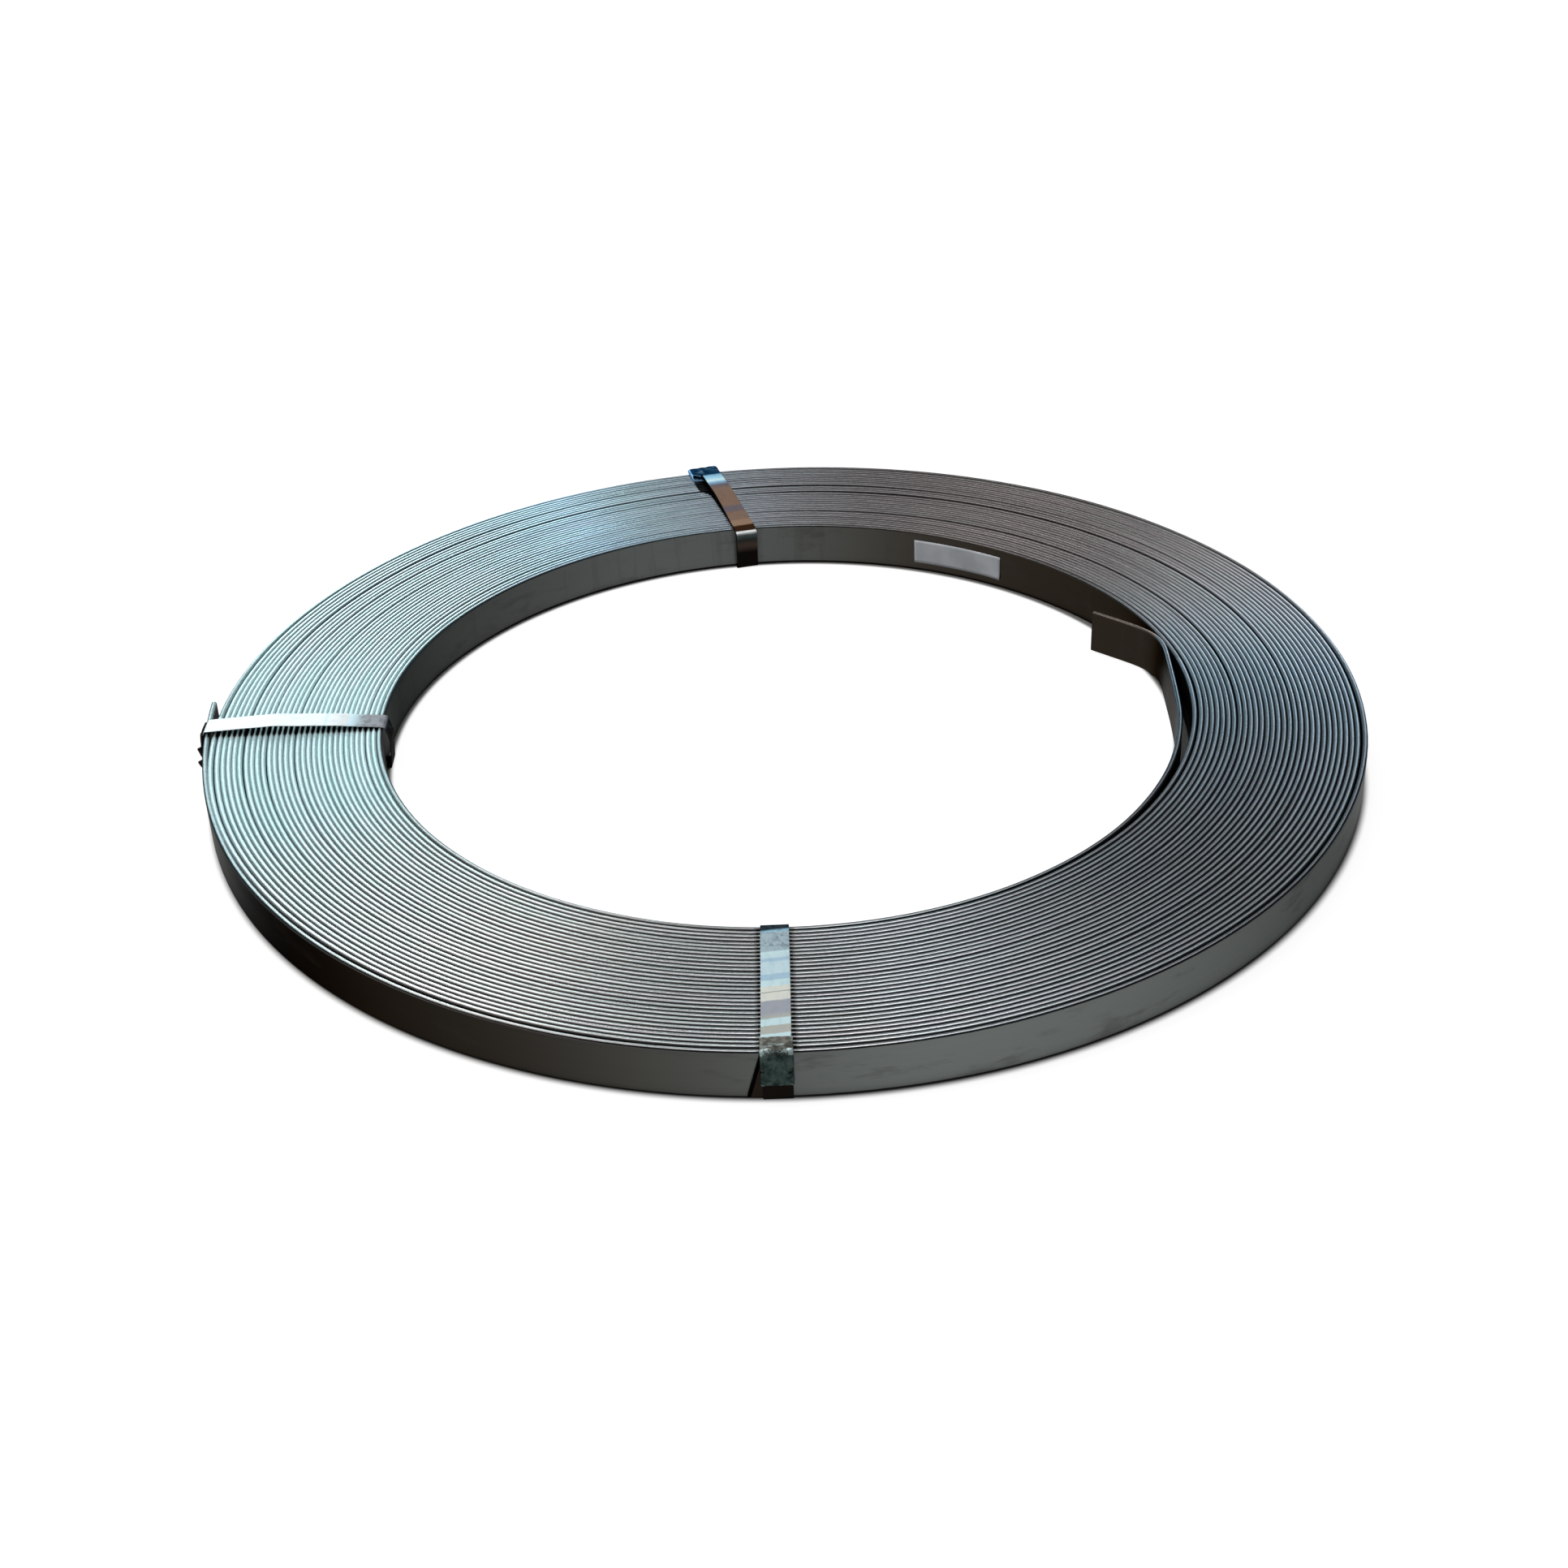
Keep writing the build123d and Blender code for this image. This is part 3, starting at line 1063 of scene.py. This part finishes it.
def seal(node, side, route, crimps, flare, open_by, seed, finish):
    """A sheet folded round the strap and over the coil's outer edge, notched where it is crimped.

    The route is the coil's surface below the seal: its end on top, the coil's edge, its end on the wall.
    """
    fold = Fold(*route)
    first_row = -fold.on_top if fold.on_top > SEAL_CORNER else SEAL_CORNER
    rows = np.arange(first_row, fold.on_wall + SEAL_ROW / 2, SEAL_ROW)
    vertices, wear, on_top = [], [], []
    for row, row_place in enumerate(rows):
        opened = open_by * clamped(1 - row_place / fold.on_wall)
        section = seal_section(opened)
        half = len(section) // 2
        end = max(0, 1 - min(row, len(rows) - 1 - row) / 2)
        for column, (across, high) in enumerate(section):
            place = row_place
            if place < -SEAL_CORNER:
                shorter = np.interp(column - half, [4, 9, 13, half], [0, 1.2 * open_by, 0.5 * open_by, 0])
                place = -SEAL_CORNER + (place + SEAL_CORNER) * (1 - shorter / fold.on_top)
            share = min(abs(across) / (SEAL_HALF + (opened if across > 0 else 0)), 1.05)
            vertices.append(side.at(*seal_point(fold, place, across, high, share, crimps, flare, seed)))
            worn_end = end * (0.45 + 0.4 * share ** 3)
            # Painted highlight along the bend over the coil's edge
            bend_highlight = 0.85 * max(0, 1 - abs(place) / 3) * (0.5 + 0.5 * share)
            worn_fold = 0.7 * (share > 0.97)
            worn_lip = end * (opened > 3 and column > half + 9)
            wear.append(clamped(max(worn_end, bend_highlight, worn_fold, worn_lip)))
            on_top.append(1.0 - clamped((place + 1) / 2))
    mesh = bpy.data.meshes.new(node + "_sleeve")
    mesh.from_pydata(vertices, [], sheet_faces(len(rows), len(section)))
    for name, values in (("wear", wear), ("on_top", on_top)):
        mesh.attributes.new(name, "FLOAT", "POINT").data.foreach_set("value", values)
    mesh.materials.append(finish)
    mesh.shade_smooth()
    mesh.set_sharp_from_angle(angle=radians(35))
    sleeve = new_object(node + "_sleeve", mesh)
    sheet = sleeve.modifiers.new("sheet", "SOLIDIFY")
    sheet.thickness = SEAL_SHEET
    sheet.offset = 0
    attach(sleeve, "root")
    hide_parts(node)


seal(
    "seal_front",
    Side(270, -11.8),
    [(361.6, 30.9), (371.3, 30.9), (371.3, 10.4)],
    crimps=[11.8],
    flare=0.5,
    open_by=0,
    seed=1.0,
    finish=front_seal_steel,
)
seal(
    "seal_left",
    LEFT,
    [(375.6, 32.2), (375.6, 32.2), (378.4, 2.4)],
    crimps=[10.8, 20.6],
    flare=4.2,
    open_by=0,
    seed=5.0,
    finish=left_seal_steel,
)
seal(
    "seal_back",
    Side(104, -37.6),
    [(350.6, 31.0), (370.2, 31.0), (370.2, 16.6)],
    crimps=[9.0],
    flare=0.4,
    open_by=6.5,
    seed=9.0,
    finish=back_seal_steel,
)

# The label

LABEL_HEADINGS = (51.6, 67.0)
LABEL_HEIGHTS = (6 * MM, 24 * MM)  # above the coil's underside
LABEL_PAPER = 0.15 * MM
LABEL_CLEARANCE = 0.38  # millimetres from the wall to the middle of the paper


def label():
    """A thin blank sticker on the bore's wall, with one corner that has begun to lift."""
    headings = np.linspace(*LABEL_HEADINGS, 32)
    heights = np.linspace(COIL_LOW + LABEL_HEIGHTS[0], COIL_LOW + LABEL_HEIGHTS[1], 10)
    vertices = []
    for heading in headings:
        wall = BORE_RADIUS + PITCH * (BEND_HEADING - heading + 360) / 360
        for height in heights:
            corner = hypot((heading - headings[0]) / 3, (height - heights[0]) / (6 * MM))
            lift = 0.9 * max(0, 1 - corner) ** 2 + 0.08 * noise.noise(Vector((heading / 3, height * 150, 0)))
            radius = wall - (LABEL_CLEARANCE + lift) * MM
            angle = radians(heading)
            vertices.append((radius * cos(angle), radius * sin(angle), height))
    mesh = bpy.data.meshes.new("label_sticker")
    mesh.from_pydata(vertices, [], sheet_faces(len(headings), len(heights)))
    mesh.materials.append(label_paper)
    mesh.shade_smooth()
    sticker = new_object("label_sticker", mesh)
    paper = sticker.modifiers.new("paper", "SOLIDIFY")
    paper.thickness = LABEL_PAPER
    paper.offset = 0
    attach(sticker, "root")
    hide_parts("paper_label")


label()

# The floor

FLOOR_REACH = 12.0
FLOOR_GREY = (0.24, 0.24, 0.24, 1)


def floor_finish():
    """Matt grey that takes the shadow, with a white glow that only the camera and reflections see."""
    material = bpy.data.materials.new("studio_floor")
    material.use_nodes = True
    material.node_tree.nodes.clear()
    tree = Tree(material.node_tree)
    ray = tree.add("ShaderNodeLightPath")
    seen = ray.out("Is Camera Ray").most(ray.out("Is Glossy Ray")).most(ray.out("Is Transmission Ray"))
    x, y = place_of(tree)[:2]
    radius, east, north = around_axis(x, y)

    # No glow below the coil, nor in the gap beside its loose innermost turn: shade painted where the floor
    # shows through
    beside_gap = patches_at(east, north, [(-12, 60, 5.5 * MM)])
    painted_floor_shade = (radius + beside_gap).between(256.5 * MM, 260.5 * MM)
    painted_floor_shade = painted_floor_shade * (1 - radius.between(370 * MM, 376 * MM))
    strength = seen * (1 - painted_floor_shade) * (radius.between(0.5, 2.5) * 0.1 + 0.9)
    matt = tree.add("ShaderNodeBsdfDiffuse", None, {"Color": FLOOR_GREY})
    glow = tree.add("ShaderNodeEmission", None, {"Strength": strength})
    both = tree.add("ShaderNodeAddShader", None, {0: matt, 1: glow})
    tree.add("ShaderNodeOutputMaterial", None, {"Surface": both})
    return material


floor_mesh = bpy.data.meshes.new("floor")
floor_corners = [(x * FLOOR_REACH, y * FLOOR_REACH, 0) for x, y in ((-1, -1), (1, -1), (1, 1), (-1, 1))]
floor_mesh.from_pydata(floor_corners, [], [(0, 1, 2, 3)])
floor_mesh.materials.append(floor_finish())
floor = new_object("floor", floor_mesh)

# The lamps and the sky

LAMP_SIZE = 1.1
LAMP_DISTANCE = 2.6


def softbox(name, heading, rise, power, tint=(1, 1, 1)):
    """A large soft lamp that faces the coil from a heading, at an angle above the floor."""
    lamp = bpy.data.lights.new(name, "AREA")
    lamp.shape = "SQUARE"
    lamp.size = LAMP_SIZE
    lamp.energy = power
    lamp.color = tint
    holder = new_object(name, lamp)
    level = cos(radians(rise))
    away = Vector((cos(radians(heading)) * level, sin(radians(heading)) * level, sin(radians(rise))))
    holder.location = away * LAMP_DISTANCE
    holder.rotation_euler = away.to_track_quat("Z", "Y").to_euler()


softbox("back_low", 111, 14, 28, (0.86, 1.0, 1.0))
softbox("back_high", 120, 36, 9.5, (0.86, 1.0, 1.0))
softbox("left_high", 180, 60, 22, (1.06, 1.0, 0.94))
softbox("overhead", 0, 90, 19)
softbox("right_high", 60, 60, 4)
softbox("right_low", 58, 14, 8)

world = bpy.data.worlds.new("studio")
scene.world = world
world.use_nodes = True
world.node_tree.nodes.clear()
air = Tree(world.node_tree)
sky = air.add("ShaderNodeTexCoord", None, None, "Generated")
rise = air.add("ShaderNodeSeparateXYZ", None, {0: sky}).out("Z")
shade = air.colour(rise.between(0.02, 0.15), (0.9, 0.9, 0.9), (0.06, 0.06, 0.06))
background = air.add("ShaderNodeBackground", None, {"Color": shade})
air.add("ShaderNodeOutputWorld", None, {"Surface": background})

# The camera

CAMERA_PLACE = (-0.0024, -1.2858, 0.7552)
CAMERA_LENS = 51.8  # millimetres, on a sensor 36 mm wide
LOOKS_DOWN = 31.62
ROLL = -2.28

camera_data = bpy.data.cameras.new("camera")
camera_data.sensor_width = 36
camera_data.lens = CAMERA_LENS
camera = new_object("camera", camera_data)
camera.location = CAMERA_PLACE
turned = Matrix.Rotation(radians(90 - LOOKS_DOWN), 4, "X") @ Matrix.Rotation(radians(ROLL), 4, "Z")
camera.rotation_euler = turned.to_euler()
scene.camera = camera

scene.view_settings.view_transform = "Standard"
